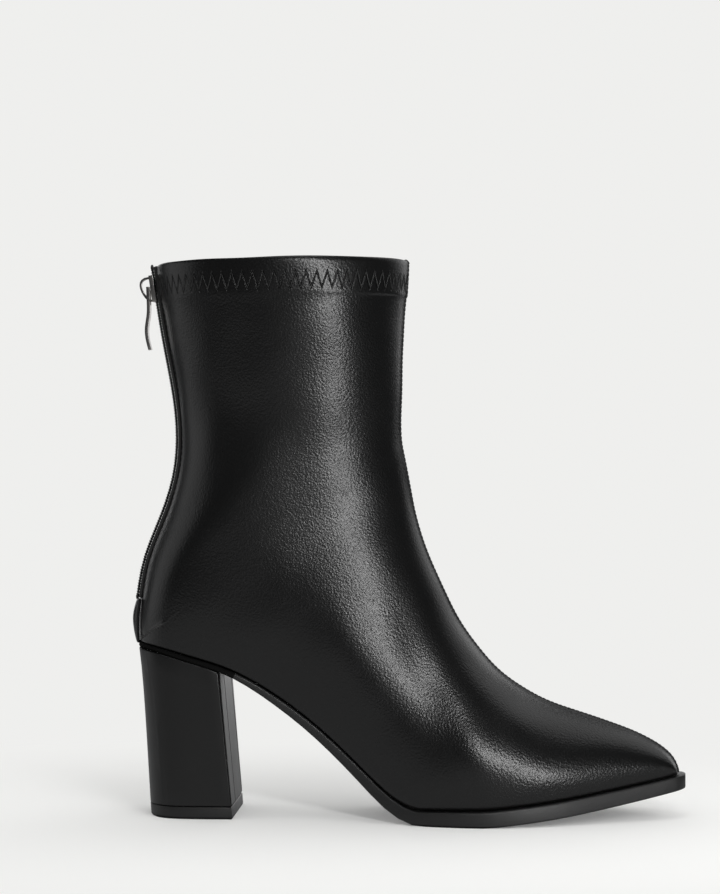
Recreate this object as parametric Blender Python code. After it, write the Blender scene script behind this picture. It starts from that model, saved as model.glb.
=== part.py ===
"""Block heel ankle boot for a right foot, with a pointed toe and a zip up the back.

The toe points to +X and the outer side of the foot faces -Y. The boot stands on z = 0, with the
middle of its length over the origin. Tables are in millimetres from the back of the tab, and MM
turns them into metres.
"""

import math
from collections import namedtuple

import bmesh
import bpy
import numpy as np
from mathutils import Vector
from mathutils.bvhtree import BVHTree

MM = 0.001

# Driving sizes
LENGTH = 251 * MM
WALL = 1.8 * MM
GAP = 0.3 * MM

# The sole, a row for each station: height of the underside, thickness and the half widths of the
# outline towards the outer and the inner side of the foot. An underside below zero treads flat.
SoleStation = namedtuple("SoleStation", "x bottom thick outer inner")
SOLE = [
    SoleStation(3.4, 76.5, 1.9, 27.4, 27.4),
    SoleStation(16, 74.4, 1.9, 27.8, 27.8),
    SoleStation(30, 70.5, 1.9, 27.6, 27.2),
    SoleStation(43, 66.1, 2.3, 27.0, 26.0),
    SoleStation(55, 59.9, 2.9, 26.0, 24.0),
    SoleStation(68, 51.0, 3.5, 25.2, 21.8),
    SoleStation(81, 40.8, 4.0, 25.0, 20.4),
    SoleStation(94, 29.0, 4.4, 26.0, 20.7),
    SoleStation(106, 17.1, 4.8, 28.4, 22.6),
    SoleStation(114, 9.3, 5.2, 31.0, 24.8),
    SoleStation(121, 3.9, 5.6, 33.3, 26.8),
    SoleStation(129, 0.4, 6.0, 35.6, 29.6),
    SoleStation(145, -0.3, 6.5, 39.2, 35.0),
    SoleStation(160, 0.0, 6.8, 40.6, 38.8),
    SoleStation(176, 1.3, 7.0, 38.6, 40.2),
    SoleStation(194, 3.4, 7.0, 33.2, 37.2),
    SoleStation(212, 6.1, 6.9, 25.2, 30.4),
    SoleStation(230, 9.2, 6.6, 16.9, 21.4),
    SoleStation(242, 11.5, 6.4, 11.5, 14.2),
    SoleStation(251, 13.4, 6.1, 7.8, 9.0),
]
HEEL_END = 3.4 * MM
HEEL_REACH = 27 * MM
HEEL_POWER = 2.3
TOE_END = LENGTH
TOE_REACH = 6 * MM
TOE_POWER = 2.6
SOLE_STATIONS = 52
# Stations round an end, the first of them a small share of a quarter turn from the end itself
END_STATIONS = 12
END_TURN_FROM = 0.03
SOLE_CHAMFER = 0.5 * MM
# From here the edge of the sole turns upright, towards the front of the toe
UPRIGHT_FROM = 225 * MM
# Reach to either side of a place where a slope is measured
SLOPE_REACH = 0.5 * MM
# How far the sole's top face is worked out past both ends, and at how many places
TOP_MARGIN = 4 * MM
TOP_SAMPLES = 500

# How far a piece lies inside the sole's edge, at the heel, along the forepart and at the toe tip
Inset = namedtuple("Inset", "heel forepart tip")
NO_INSET = Inset(0, 0, 0)
UPPER_INSET = Inset(0.5 * MM, 2.5 * MM, 3.2 * MM)
INSOLE_CLEAR = 1.3 * MM
INSOLE_INSET = Inset(*(inset + WALL + INSOLE_CLEAR for inset in UPPER_INSET))
WELT_FROM = 108 * MM
WELT_FULL = 150 * MM
INSOLE_THICK = 2 * MM
INSOLE_CHAMFER = 0.3 * MM

# The upper, a row for each section. Its plane runs across the boot from the edge point to the
# point on the front seam: the edge rests on the sole where edge_z is None, and elsewhere climbs
# the back. outer and inner are the greatest half widths, and widest is where they are, as a share
# of the way from edge to seam.
Section = namedtuple("Section", "edge_x edge_z seam_x seam_z outer inner widest")
SECTIONS = [
    Section(247.4, None, 247.4, 20.7, 3.8, 4.3, 0.45),
    Section(246.4, None, 246.0, 24.7, 6.8, 8.2, 0.43),
    Section(243.0, None, 242.6, 29.2, 9.4, 11.8, 0.40),
    Section(236.0, None, 235.7, 33.8, 13.0, 16.4, 0.36),
    Section(224.0, None, 223.8, 39.2, 18.8, 23.2, 0.32),
    Section(208.0, None, 207.8, 44.7, 26.4, 31.0, 0.28),
    Section(190.0, None, 189.8, 50.8, 33.8, 37.2, 0.25),
    Section(172.0, None, 172.2, 60.3, 38.6, 39.6, 0.23),
    Section(155.0, None, 159.3, 72.8, 39.6, 37.6, 0.23),
    Section(138.0, None, 149.5, 86.9, 37.8, 33.9, 0.25),
    Section(121.0, None, 141.5, 102.4, 34.8, 31.0, 0.29),
    Section(104.0, None, 135.9, 114.6, 32.4, 29.4, 0.33),
    Section(86.0, None, 132.3, 123.8, 31.2, 28.8, 0.35),
    Section(68.0, None, 129.9, 132.0, 30.8, 29.0, 0.36),
    Section(50.0, None, 128.2, 138.9, 30.8, 29.8, 0.37),
    Section(32.0, None, 126.9, 145.2, 30.8, 30.4, 0.38),
    Section(18.0, None, 125.8, 150.2, 30.8, 30.7, 0.39),
    Section(9.0, None, 125.0, 154.2, 30.9, 30.8, 0.40),
    Section(5.0, None, 124.3, 157.6, 31.0, 31.0, 0.41),
    Section(3.9, None, 123.8, 160.4, 31.1, 31.1, 0.42),
    Section(3.5, 87.0, 122.7, 165.8, 31.3, 31.3, 0.43),
    Section(4.0, 93.5, 122.2, 169.6, 31.5, 31.5, 0.44),
    Section(4.5, 97.5, 122.0, 171.9, 31.7, 31.7, 0.44),
    Section(7.8, 115.0, 121.8, 181.8, 32.4, 32.4, 0.45),
    Section(14.9, 133.5, 122.2, 191.8, 33.0, 33.0, 0.46),
    Section(20.7, 151.5, 122.6, 200.8, 33.8, 33.8, 0.47),
    Section(22.7, 171.0, 123.0, 209.6, 35.2, 35.2, 0.48),
    Section(21.3, 188.5, 123.3, 217.4, 37.2, 37.2, 0.48),
    Section(17.3, 210.5, 123.6, 226.4, 39.6, 39.6, 0.49),
    Section(13.6, 232.0, 124.4, 234.4, 41.6, 41.6, 0.49),
    Section(11.2, 249.0, 125.3, 251.2, 42.6, 42.6, 0.49),
]
STEPS_PER_SECTION = 2
COLUMNS_PER_SIDE = 14
SECTION_SAMPLES = 80
# Length of section that counts as much as one radian of bend when columns are spaced
BEND_WEIGHT = 25 * MM
# Power of the curve over the front, sharper along the toe than round the shaft
TOE_CREST = 0.72
SHAFT_CREST = 0.54
TOE_CREST_Z = 30 * MM
SHAFT_CREST_Z = 170 * MM
# Height where the round of the heel has grown into the oval of the shaft
SHAFT_OVAL_Z = 140 * MM
SHAFT_POWER = 2

# Raised front seam and turned cuff, as steps in the upper's wall
SEAM_HALF = 1.0 * MM
SEAM_FOOT = 0.5 * MM
SEAM_LIFT = 0.6 * MM
CUFF_LIFT = 0.5 * MM
CUFF_STEP = 0.6 * MM

# Slit and zip up the back. A profile point is its height over the leather and its half width.
SLIT_FOOT_Z = 93.5 * MM
SLIT_RAMP = 4 * MM
SLIT_HALF = 5 * MM
ZIP_FOOT_Z = SLIT_FOOT_Z + SLIT_RAMP + GAP
ZIP_TOP_Z = 248.6 * MM
ZIP_STATIONS = 26
TAPE_HALF = SLIT_HALF - GAP
TAPE_PROFILE = [(-1.4 * MM, 3.8 * MM), (0, TAPE_HALF), (1.2 * MM, 2.6 * MM)]
CHAIN_PROFILE = [(1.5 * MM, 2.2 * MM), (2.4 * MM, 2.2 * MM), (2.9 * MM, 1.6 * MM)]

# Slider at its place near the collar, in heights over the leather
SLIDER_Z = 239 * MM
SLIDER_HALF_LENGTH = 6 * MM
SLIDER_HALF_TOP = 4.5 * MM
SLIDER_HALF_FOOT = 3.7 * MM
SLIDER_FLANGE = 1.1 * MM
FLANGE_FOOT = 2.0 * MM
PLATE_INNER = 3.15 * MM
PLATE_OUTER = 4.0 * MM
ARCH_HALF_SPAN = 5.3 * MM
ARCH_RISE = 4.3 * MM
ARCH_LEAN = 1.4 * MM
ARCH_THICK = 1.0 * MM
ARCH_HALF_WIDTH = 1.0 * MM
ARCH_POWER = 0.65
ARCH_STEPS = 12

# Pull tab, hinged under the arch, with the bends of its side profile measured from the hinge
HINGE_OUT = 5.3 * MM
HINGE_UP = 0.4 * MM
PullBend = namedtuple("PullBend", "forward down")
PULL_BENDS = [
    PullBend(0.0, -0.75),
    PullBend(0.1, 2.0),
    PullBend(0.25, 6.7),
    PullBend(0.2, 11.6),
    PullBend(-0.3, 15.1),
    PullBend(-0.7, 18.5),
    PullBend(-0.5, 22.0),
    PullBend(0.2, 25.4),
    PullBend(0.9, 27.9),
]
PULL_STEPS = 18
PULL_HALF_THICK = 0.7 * MM
PULL_HALF_TOP = 3.0 * MM
PULL_HALF_FOOT = 2.0 * MM
WINDOW_HALF = 1.5 * MM
WINDOW_FROM = 0.75 * MM
WINDOW_TO = 7.6 * MM
WINDOW_REACH = 3 * MM

# Block heel and top lift: places of back and breast and the half width, at the floor and at the top
HEEL_TOP_Z = 72 * MM
HEEL_BACK = (9.2 * MM, 4.9 * MM)
HEEL_FLARE = 1.0 * MM
HEEL_FLARE_POWER = 6
HEEL_BREAST = (48.4 * MM, 42.3 * MM)
HEEL_HALF = (22.3 * MM, 27.0 * MM)
HEEL_ROUND = 21 * MM
HEEL_ROUND_POWER = 2.6
HEEL_LEVELS = 9
HEEL_POINTS = 14
# Turn from the very back at which the first points of a heel ring stand
HEEL_TURN_FROM = 0.06
LIFT_THICK = 5.6 * MM
LIFT_CHAMFER = 0.6 * MM

# Padded tab over the foot of the zip
TAB_FOOT_Z = 79.6 * MM
TAB_TOP_Z = ZIP_FOOT_Z - GAP
TAB_HALF = 8 * MM
TAB_ROWS = 10
TAB_COLUMNS = 9
TAB_THICK = 3.1 * MM
TAB_GAP = 0.4 * MM
TAB_EDGE = 1.2 * MM
TAB_SIDE_POWER = 4
# Part of a half wave that the padding follows from the tab's foot to its top
TAB_SWELL_FROM = 0.05
TAB_SWELL_TO = 0.85

# Edges sharper than this stay sharp where a piece is shaded smooth
SHARP_ANGLE = math.radians(35)

Finish = namedtuple("Finish", "colour roughness metallic")
FINISHES = {
    "black_leather": Finish((0.012, 0.012, 0.013), 0.38, 0),
    "heel_cover": Finish((0.012, 0.012, 0.013), 0.45, 0),
    "sole_black": Finish((0.018, 0.018, 0.018), 0.55, 0),
    "lining": Finish((0.05, 0.05, 0.05), 0.8, 0),
    "zip_black": Finish((0.010, 0.010, 0.010), 0.6, 0),
    "gunmetal": Finish((0.30, 0.30, 0.31), 0.25, 1),
}


def column(table, name):
    """One column of a table, as plain numbers."""
    return np.array([getattr(row, name) for row in table], float)


def lengths(table, name):
    """One column of sizes, in metres."""
    return column(table, name) * MM


def smooth_step(low, high, value):
    """Rise from 0 at low to 1 at high, level at both ends."""
    share = np.clip((value - low) / (high - low), 0, 1)
    return share * share * (3 - 2 * share)


def spline(knots, values, at):
    """Natural cubic spline through the values at the knots, read at the given places."""
    knots, values, at = (np.asarray(item, float) for item in (knots, values, at))
    step = np.diff(knots)
    rise = np.diff(values) / step
    count = len(knots)
    system = np.eye(count)
    right = np.zeros(count)
    for i in range(1, count - 1):
        system[i, i - 1 : i + 2] = step[i - 1], 2 * (step[i - 1] + step[i]), step[i]
        right[i] = 6 * (rise[i] - rise[i - 1])
    bend = np.linalg.solve(system, right)
    i = np.clip(np.searchsorted(knots, at) - 1, 0, count - 2)
    along = at - knots[i]
    slope = rise[i] - step[i] * (2 * bend[i] + bend[i + 1]) / 6
    twist = (bend[i + 1] - bend[i]) / (6 * step[i])
    return values[i] + along * (slope + along * (bend[i] / 2 + along * twist))


def loft(rings):
    """Vertices and faces of a solid through rings whose points j and -1 - j face each other."""
    rings = np.asarray(rings)
    count = rings.shape[1]
    faces = []
    for i in range(len(rings) - 1):
        low, high = i * count, (i + 1) * count
        for j in range(count):
            k = (j + 1) % count
            faces.append((low + j, low + k, high + k, high + j))
    for start in (0, (len(rings) - 1) * count):
        for j in range(count // 2 - 1):
            faces.append((start + j, start + j + 1, start + count - 2 - j, start + count - 1 - j))
    return rings.reshape(-1, 3), faces


def make_material(name, finish):
    """Principled material."""
    material = bpy.data.materials.new(name)
    material.use_nodes = True
    shader = material.node_tree.nodes["Principled BSDF"]
    shader.inputs["Base Color"].default_value = (*finish.colour, 1)
    shader.inputs["Roughness"].default_value = finish.roughness
    shader.inputs["Metallic"].default_value = finish.metallic
    return material


def add_piece(name, shape, material, parent, location=(0, 0, 0)):
    """Object from vertices and faces, with its faces turned outward."""
    vertices, faces = shape
    mesh = bpy.data.meshes.new(name)
    mesh.from_pydata([tuple(point) for point in vertices], [], faces)
    work = bmesh.new()
    work.from_mesh(mesh)
    bmesh.ops.recalc_face_normals(work, faces=work.faces)
    work.to_mesh(mesh)
    work.free()
    mesh.shade_smooth()
    mesh.set_sharp_from_angle(angle=SHARP_ANGLE)
    mesh.materials.append(material)
    piece = bpy.data.objects.new(name, mesh)
    piece.location = location
    piece.parent = parent
    bpy.context.scene.collection.objects.link(piece)
    return piece


def add_boolean(piece, other, operation):
    """Join or cut a piece with a helper object that isn't part of the boot."""
    other.hide_render = True
    other.display_type = "WIRE"
    modifier = piece.modifiers.new(operation.lower(), "BOOLEAN")
    modifier.operation = operation
    modifier.object = other


# Sole


def sole_bottom(x):
    """Height of the sole's underside on the centre line."""
    return np.maximum(spline(lengths(SOLE, "x"), lengths(SOLE, "bottom"), x), 0)


def sole_normal(x):
    """Unit vector square to the underside, up through the sole, as x and z."""
    slope = (sole_bottom(x + SLOPE_REACH) - sole_bottom(x - SLOPE_REACH)) / (2 * SLOPE_REACH)
    slope = slope * (1 - smooth_step(UPRIGHT_FROM, TOE_END, x))
    return np.stack([-slope, np.ones_like(slope)], -1) / np.hypot(1, slope)[..., None]


def sole_point(x, share):
    """Point in the sole's thickness over station x, 0 on the underside and 1 on top."""
    thick = spline(lengths(SOLE, "x"), lengths(SOLE, "thick"), x) * share
    return np.stack([x, sole_bottom(x)], -1) + thick[..., None] * sole_normal(x)


def sole_top(x):
    """Height of the sole's upper face at x."""
    top = sole_point(np.linspace(HEEL_END - TOP_MARGIN, TOE_END + TOP_MARGIN, TOP_SAMPLES), 1.0)
    return np.interp(x, top[:, 0], top[:, 1])


def rounded_end(distance, reach, power):
    """Share of the full half width at a distance inside a rounded end."""
    left = np.clip(1 - distance / reach, 0, 1)
    return (1 - left**power) ** (1 / power)


def flank(x, side, inset):
    """Half width towards one side of an outline inside the sole's own, before its heel is rounded."""
    welt = inset.heel + (inset.forepart - inset.heel) * smooth_step(WELT_FROM, WELT_FULL, x)
    full = spline(lengths(SOLE, "x"), lengths(SOLE, side), x) - welt
    return full * rounded_end(TOE_END - inset.tip - x, TOE_REACH, TOE_POWER)


def outline(x, side, inset):
    """Half width towards one side of an outline inside the sole's own."""
    return flank(x, side, inset) * rounded_end(x - HEEL_END - inset.heel, HEEL_REACH, HEEL_POWER)


def plate_stations(inset):
    """Places along an outline, closer together at its round ends."""
    back = HEEL_END + inset.heel
    tip = TOE_END - inset.tip
    turn = np.linspace(END_TURN_FROM, 1, END_STATIONS) * math.pi / 2
    heel = back + HEEL_REACH * (1 - np.cos(turn))
    toe = tip - TOE_REACH * (1 - np.cos(turn[::2]))
    middle = np.linspace(heel[-1], toe[-1], SOLE_STATIONS - len(heel) - len(toe) + 2)
    return np.concatenate([heel, middle[1:-1], toe[::-1]])


def plate(inset, low, high, chamfer):
    """Plate along the sole's curve, between two centre line functions of the station."""
    x = plate_stations(inset)
    outer = outline(x, "outer", inset)
    inner = outline(x, "inner", inset)
    bevel = np.minimum(chamfer, 0.5 * np.minimum(outer, inner))
    rise = high(x) - low(x)
    share = chamfer / np.hypot(rise[:, 0], rise[:, 1])[:, None]
    levels = [(high(x), bevel), (high(x) - share * rise, 0), (low(x) + share * rise, 0), (low(x), bevel)]
    down = [np.stack([level[:, 0], back_off - outer, level[:, 1]], -1) for level, back_off in levels]
    up = [np.stack([level[:, 0], inner - back_off, level[:, 1]], -1) for level, back_off in levels[::-1]]
    return loft(np.stack(down + up, 1))


def outsole():
    """Outsole: thin under the heel, arched at the waist, with toe spring."""
    return plate(NO_INSET, lambda x: sole_point(x, 0.0), lambda x: sole_point(x, 1.0), SOLE_CHAMFER)


def insole():
    """Insole, on the outsole and inside the upper's wall."""

    def level(height):
        return lambda x: np.stack([x, sole_top(x) + height], -1)

    return plate(INSOLE_INSET, level(GAP), level(GAP + INSOLE_THICK), INSOLE_CHAMFER)


# Heel


def heel_ring(height, inset=0.0):
    """Outline of the block heel at a height, from the outer breast corner round the back."""
    share = height / HEEL_TOP_Z
    flare = HEEL_FLARE * np.clip(share, 0, 1) ** HEEL_FLARE_POWER
    back = HEEL_BACK[0] + (HEEL_BACK[1] - HEEL_BACK[0]) * share - flare + inset
    breast = HEEL_BREAST[0] + (HEEL_BREAST[1] - HEEL_BREAST[0]) * share - inset
    half = HEEL_HALF[0] + (HEEL_HALF[1] - HEEL_HALF[0]) * share - inset
    turn = np.linspace(math.pi / 2, HEEL_TURN_FROM, HEEL_POINTS)
    x = back + (breast - back) * (1 - np.cos(turn))
    y = half * rounded_end(x - back, HEEL_ROUND, HEEL_ROUND_POWER)
    return np.concatenate([x, x[::-1]]), np.concatenate([-y, y[::-1]])


def heel():
    """Block heel, from the top lift up to the heel seat of the outsole."""
    foot = LIFT_THICK + GAP
    rings = []
    for share in np.linspace(0, 1, HEEL_LEVELS):
        x, y = heel_ring(foot + (HEEL_TOP_Z - foot) * share)
        ceiling = sole_bottom(x) - GAP
        rings.append(np.stack([x, y, foot + (ceiling - foot) * share], -1))
    return loft(rings)


def top_lift():
    """Top lift under the heel, flat on the floor."""
    rings = []
    for height, inset in ((0, LIFT_CHAMFER), (LIFT_CHAMFER, 0), (LIFT_THICK, 0)):
        x, y = heel_ring(height, inset)
        rings.append(np.stack([x, y, np.full_like(x, height)], -1))
    return loft(rings)


# Upper


def back_x(z):
    """Place of the upper's back edge at a height."""
    climb = [row for row in SECTIONS if row.edge_z is not None]
    corner = SECTIONS[len(SECTIONS) - len(climb) - 1]
    corner_z = (sole_top(corner.edge_x * MM) + GAP) / MM
    rows = [corner._replace(edge_z=corner_z)] + climb
    return spline(lengths(rows, "edge_z"), lengths(rows, "edge_x"), z)


def section_knots(corner):
    """Travel of each section of the table from the toe, taken along both edge and seam."""
    edge_x = lengths(SECTIONS, "edge_x")
    on_sole = np.arange(len(SECTIONS)) <= corner
    climb_z = np.array([0 if row.edge_z is None else row.edge_z * MM for row in SECTIONS])
    edge_y = np.where(on_sole, outline(edge_x, "outer", UPPER_INSET), 0)
    edge_z = np.where(on_sole, sole_top(edge_x) + GAP, climb_z)
    edge = np.stack([edge_x, edge_y, edge_z], -1)
    seam = np.stack([lengths(SECTIONS, "seam_x"), lengths(SECTIONS, "seam_z")], -1)
    edge_steps = np.linalg.norm(np.diff(edge, axis=0), axis=1)
    seam_steps = np.linalg.norm(np.diff(seam, axis=0), axis=1)
    return np.concatenate([[0], np.cumsum(edge_steps + seam_steps)]), edge_z


def section_rows():
    """Closely spaced sections from toe to collar, as a dict of columns in metres."""
    corner = sum(row.edge_z is None for row in SECTIONS) - 1
    knots, edge_z = section_knots(corner)
    spots = [np.linspace(a, b, STEPS_PER_SECTION, endpoint=False) for a, b in zip(knots, knots[1:])]
    spots = np.unique(np.concatenate(spots + [[knots[-2] + CUFF_STEP, knots[-1]]]))
    on_sole = spots <= knots[corner]

    names = ("seam_x", "seam_z", "outer", "inner")
    rows = {name: spline(knots, lengths(SECTIONS, name), spots) for name in names}
    rows["widest"] = spline(knots, column(SECTIONS, "widest"), spots)
    foot_x = spline(knots[: corner + 1], lengths(SECTIONS, "edge_x")[: corner + 1], spots)
    climb_z = spline(knots[corner:], edge_z[corner:], spots)
    rows["edge_x"] = np.where(on_sole, foot_x, back_x(climb_z))
    rows["edge_z"] = np.where(on_sole, sole_top(foot_x) + GAP, climb_z)

    heel_back = HEEL_END + UPPER_INSET.heel
    oval = np.where(on_sole, 0, smooth_step(edge_z[corner], SHAFT_OVAL_Z, climb_z))
    rows["back"] = np.where(on_sole, heel_back, rows["edge_x"])
    rows["power"] = HEEL_POWER + (SHAFT_POWER - HEEL_POWER) * oval
    shaft_reach = rows["widest"] * (rows["seam_x"] - rows["edge_x"])
    rows["reach"] = HEEL_REACH + (shaft_reach - HEEL_REACH) * oval
    slit = smooth_step(SLIT_FOOT_Z, SLIT_FOOT_Z + SLIT_RAMP, climb_z)
    rows["slit_half"] = SLIT_HALF * np.where(on_sole, 0, slit)
    for side in ("outer", "inner"):
        seat = flank(np.where(on_sole, foot_x, heel_back), side, UPPER_INSET)
        rows["seat_" + side] = seat + (rows[side] - seat) * oval

    rows["corner"] = int(np.count_nonzero(on_sole)) - 1
    rows["slit"] = int(np.count_nonzero(rows["slit_half"] <= 0)) - 1
    rows["cuff"] = int(np.searchsorted(spots, knots[-2] + 0.5 * CUFF_STEP))
    return rows


def half_section(rows, i, side):
    """Points of one side of a section from edge to seam, as shares of the way and half widths."""
    full, seat = rows[side][i], rows["seat_" + side][i]
    widest = rows["widest"][i]
    length = rows["seam_x"][i] - rows["edge_x"][i]
    height = rows["seam_z"][i] - rows["edge_z"][i]
    shaft = smooth_step(TOE_CREST_Z, SHAFT_CREST_Z, rows["seam_z"][i])
    crest = TOE_CREST + (SHAFT_CREST - TOE_CREST) * shaft
    turn = np.linspace(0, math.pi / 2, SECTION_SAMPLES)
    low = widest * (1 - np.cos(turn))
    high = widest + (1 - widest) * np.sin(turn[1:])
    from_back = rows["edge_x"][i] + low * length - rows["back"][i]
    wrap = rounded_end(from_back, rows["reach"][i], rows["power"][i])
    low_half = seat * wrap + (full - seat) * np.sin(turn) ** 2
    high_half = full * np.clip(np.cos(turn[1:]), 0, 1) ** (2 * crest)
    share = np.concatenate([low, high])
    half = np.concatenate([low_half, high_half])
    stops = column_stops(share * math.hypot(length, height), half, rows["slit_half"][i], len(low))
    index = np.arange(len(share))
    return np.interp(stops, index, share), np.interp(stops, index, half)


def column_stops(along, half, slit, widest_index):
    """Places of the columns on a section, as indexes: closer at bends, and either side of the seam."""
    run = np.concatenate([[0], np.cumsum(np.hypot(np.diff(along), np.diff(half)))])
    heading = np.unwrap(np.arctan2(np.diff(half), np.diff(along)))
    bend = np.concatenate([[0, 0], np.cumsum(np.abs(np.diff(heading)))])
    pace = run + BEND_WEIGHT * bend
    index = np.arange(len(run))
    first = np.interp(slit, half[:widest_index], index[:widest_index])
    last = np.interp(run[-1] - SEAM_HALF - SEAM_FOOT, run, index)
    paces = np.linspace(np.interp(first, index, pace), np.interp(last, index, pace), COLUMNS_PER_SIDE)
    crest = np.interp([run[-1] - SEAM_HALF, run[-1]], run, index)
    return np.append(np.interp(paces, pace, index), crest)


def upper_grid(rows):
    """Plain outer surface of the upper, rows from toe to collar by columns from side to side."""
    grid = []
    for i in range(len(rows["edge_x"])):
        edge = np.array([rows["edge_x"][i], rows["edge_z"][i]])
        seam = np.array([rows["seam_x"][i], rows["seam_z"][i]])
        halves = []
        for side, sign in (("outer", -1), ("inner", 1)):
            share, half = half_section(rows, i, side)
            plane = edge + share[:, None] * (seam - edge)
            halves.append(np.stack([plane[:, 0], sign * half, plane[:, 1]], -1))
        grid.append(np.concatenate([halves[0], halves[1][-2::-1]]))
    return np.array(grid)


def grid_normals(grid, rows):
    """Outward unit vectors at the points of the upper's surface."""
    along = np.gradient(grid, axis=0)
    across = np.gradient(grid, axis=1)
    normals = np.cross(across, along)
    closed = slice(rows["corner"], rows["slit"] + 1)
    normals[closed, 0] += normals[closed, -1]
    normals[closed, -1] = normals[closed, 0]
    return normals / np.linalg.norm(normals, axis=2, keepdims=True)


def upper():
    """Hollow upper, open at the collar, up the back for the zip, and underneath."""
    rows = section_rows()
    base = upper_grid(rows)
    normals = grid_normals(base, rows)
    count, width = base.shape[:2]
    lift = np.zeros((count, width, 1))
    middle = width // 2
    lift[:, middle - 1 : middle + 2] += SEAM_LIFT
    lift[rows["cuff"] :] += CUFF_LIFT
    lining = base - WALL * normals
    lining[..., 2] = np.maximum(lining[..., 2], sole_top(lining[..., 0]) + GAP)
    skins = (base + lift * normals, lining)

    def spot(skin, i, j):
        if j == width - 1 and rows["corner"] <= i <= rows["slit"]:
            j = 0
        return (skin * count + i) * width + j

    faces = []
    for skin in (0, 1):
        for i in range(count - 1):
            for j in range(width - 1):
                cell = (i, j), (i, j + 1), (i + 1, j + 1), (i + 1, j)
                faces.append([spot(skin, *corner) for corner in cell])
        for j in range(middle):
            cell = (0, j), (0, j + 1), (0, width - 2 - j), (0, width - 1 - j)
            faces.append(list(dict.fromkeys(spot(skin, *corner) for corner in cell)))
    rims = [((count - 1, j), (count - 1, j + 1)) for j in range(width - 1)]
    rims.append(((0, 0), (0, width - 1)))
    open_rows = list(range(rows["corner"])) + list(range(rows["slit"], count - 1))
    rims += [((i, j), (i + 1, j)) for i in open_rows for j in (0, width - 1)]
    for a, b in rims:
        faces.append([spot(0, *a), spot(0, *b), spot(1, *b), spot(1, *a)])
    return drop_unused(np.concatenate([skin.reshape(-1, 3) for skin in skins]), faces)


def drop_unused(vertices, faces):
    """Leave out the vertices that no face uses."""
    used = sorted({index for face in faces for index in face})
    place = {index: k for k, index in enumerate(used)}
    return vertices[used], [[place[index] for index in face] for face in faces]


# Zip


def back_frame(z):
    """Point on the back edge at a height, with the ways out of and up along the leather."""
    up = np.array([back_x(z + SLOPE_REACH) - back_x(z - SLOPE_REACH), 0, 2 * SLOPE_REACH])
    up /= np.linalg.norm(up)
    out = np.array([-up[2], 0, up[0]])
    return np.array([back_x(z), 0, z]), out, up


def zip_run(profile):
    """Strip with a constant profile up the back, from the foot of the zip to the collar."""
    rings = []
    for z in np.linspace(ZIP_FOOT_Z, ZIP_TOP_Z, ZIP_STATIONS):
        point, out, _ = back_frame(z)
        outer = [point + height * out + np.array([0, -half, 0]) for height, half in profile]
        inner = [point + height * out + np.array([0, half, 0]) for height, half in profile[::-1]]
        rings.append(outer + inner)
    return loft(rings)


def slider_channel():
    """Slider plate with a flange down each side of the chain."""
    point, out, up = back_frame(SLIDER_Z)
    rings = []
    for way, half in ((-1, SLIDER_HALF_FOOT), (1, SLIDER_HALF_TOP)):
        inside = half - SLIDER_FLANGE
        profile = [(FLANGE_FOOT, -half), (PLATE_OUTER, -half), (PLATE_OUTER, half), (FLANGE_FOOT, half)]
        profile += [(FLANGE_FOOT, inside), (PLATE_INNER, inside)]
        profile += [(PLATE_INNER, -inside), (FLANGE_FOOT, -inside)]
        level = point + way * SLIDER_HALF_LENGTH * up
        rings.append([level + height * out + np.array([0, y, 0]) for height, y in profile])
    return loft(rings)


def slider_arch():
    """Bridge over the slider plate that carries the pull, fuller towards the collar."""
    point, out, up = back_frame(SLIDER_Z)
    middle = 0.5 * (PLATE_INNER + PLATE_OUTER)
    rings = []
    for turn in np.linspace(0, math.pi, ARCH_STEPS):
        ring = []
        for y in (-ARCH_HALF_WIDTH, ARCH_HALF_WIDTH):
            for over in (0, ARCH_THICK)[:: 1 if y < 0 else -1]:
                along = -(ARCH_HALF_SPAN + over - 0.5 * ARCH_THICK) * math.cos(turn)
                rise = (ARCH_RISE - ARCH_LEAN * math.cos(turn) + over) * math.sin(turn) ** ARCH_POWER
                ring.append(point + along * up + (middle + rise) * out + np.array([0, y, 0]))
        rings.append(ring)
    return loft(rings)


def hinge_point():
    """Middle of the pull's bar, under the arch."""
    point, out, up = back_frame(SLIDER_Z)
    return point + HINGE_OUT * out + HINGE_UP * up


def pull_blade():
    """Pull tab about its hinge, a strip with a gentle double bend."""
    bend_down = lengths(PULL_BENDS, "down")
    down = np.linspace(bend_down[0], bend_down[-1], PULL_STEPS)
    forward = spline(bend_down, lengths(PULL_BENDS, "forward"), down)
    slope = np.gradient(forward, down)
    rings = []
    for x, z, lean in zip(forward, down, slope):
        across = np.array([1, lean]) / math.hypot(1, lean) * PULL_HALF_THICK
        half = PULL_HALF_TOP + (PULL_HALF_FOOT - PULL_HALF_TOP) * max(z, 0) / bend_down[-1]
        corners = ((-1, -half), (1, -half), (1, half), (-1, half))
        rings.append([(x + way * across[0], y, way * across[1] - z) for way, y in corners])
    return loft(rings)


def pull_window():
    """Opening in the pull that the arch passes through."""
    across = ((-1, -1), (1, -1), (1, 1), (-1, 1))
    corners = [(i * WINDOW_REACH, j * WINDOW_HALF) for i, j in across]
    return loft([[(x, y, -z) for x, y in corners] for z in (WINDOW_FROM, WINDOW_TO)])


# Tab


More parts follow.
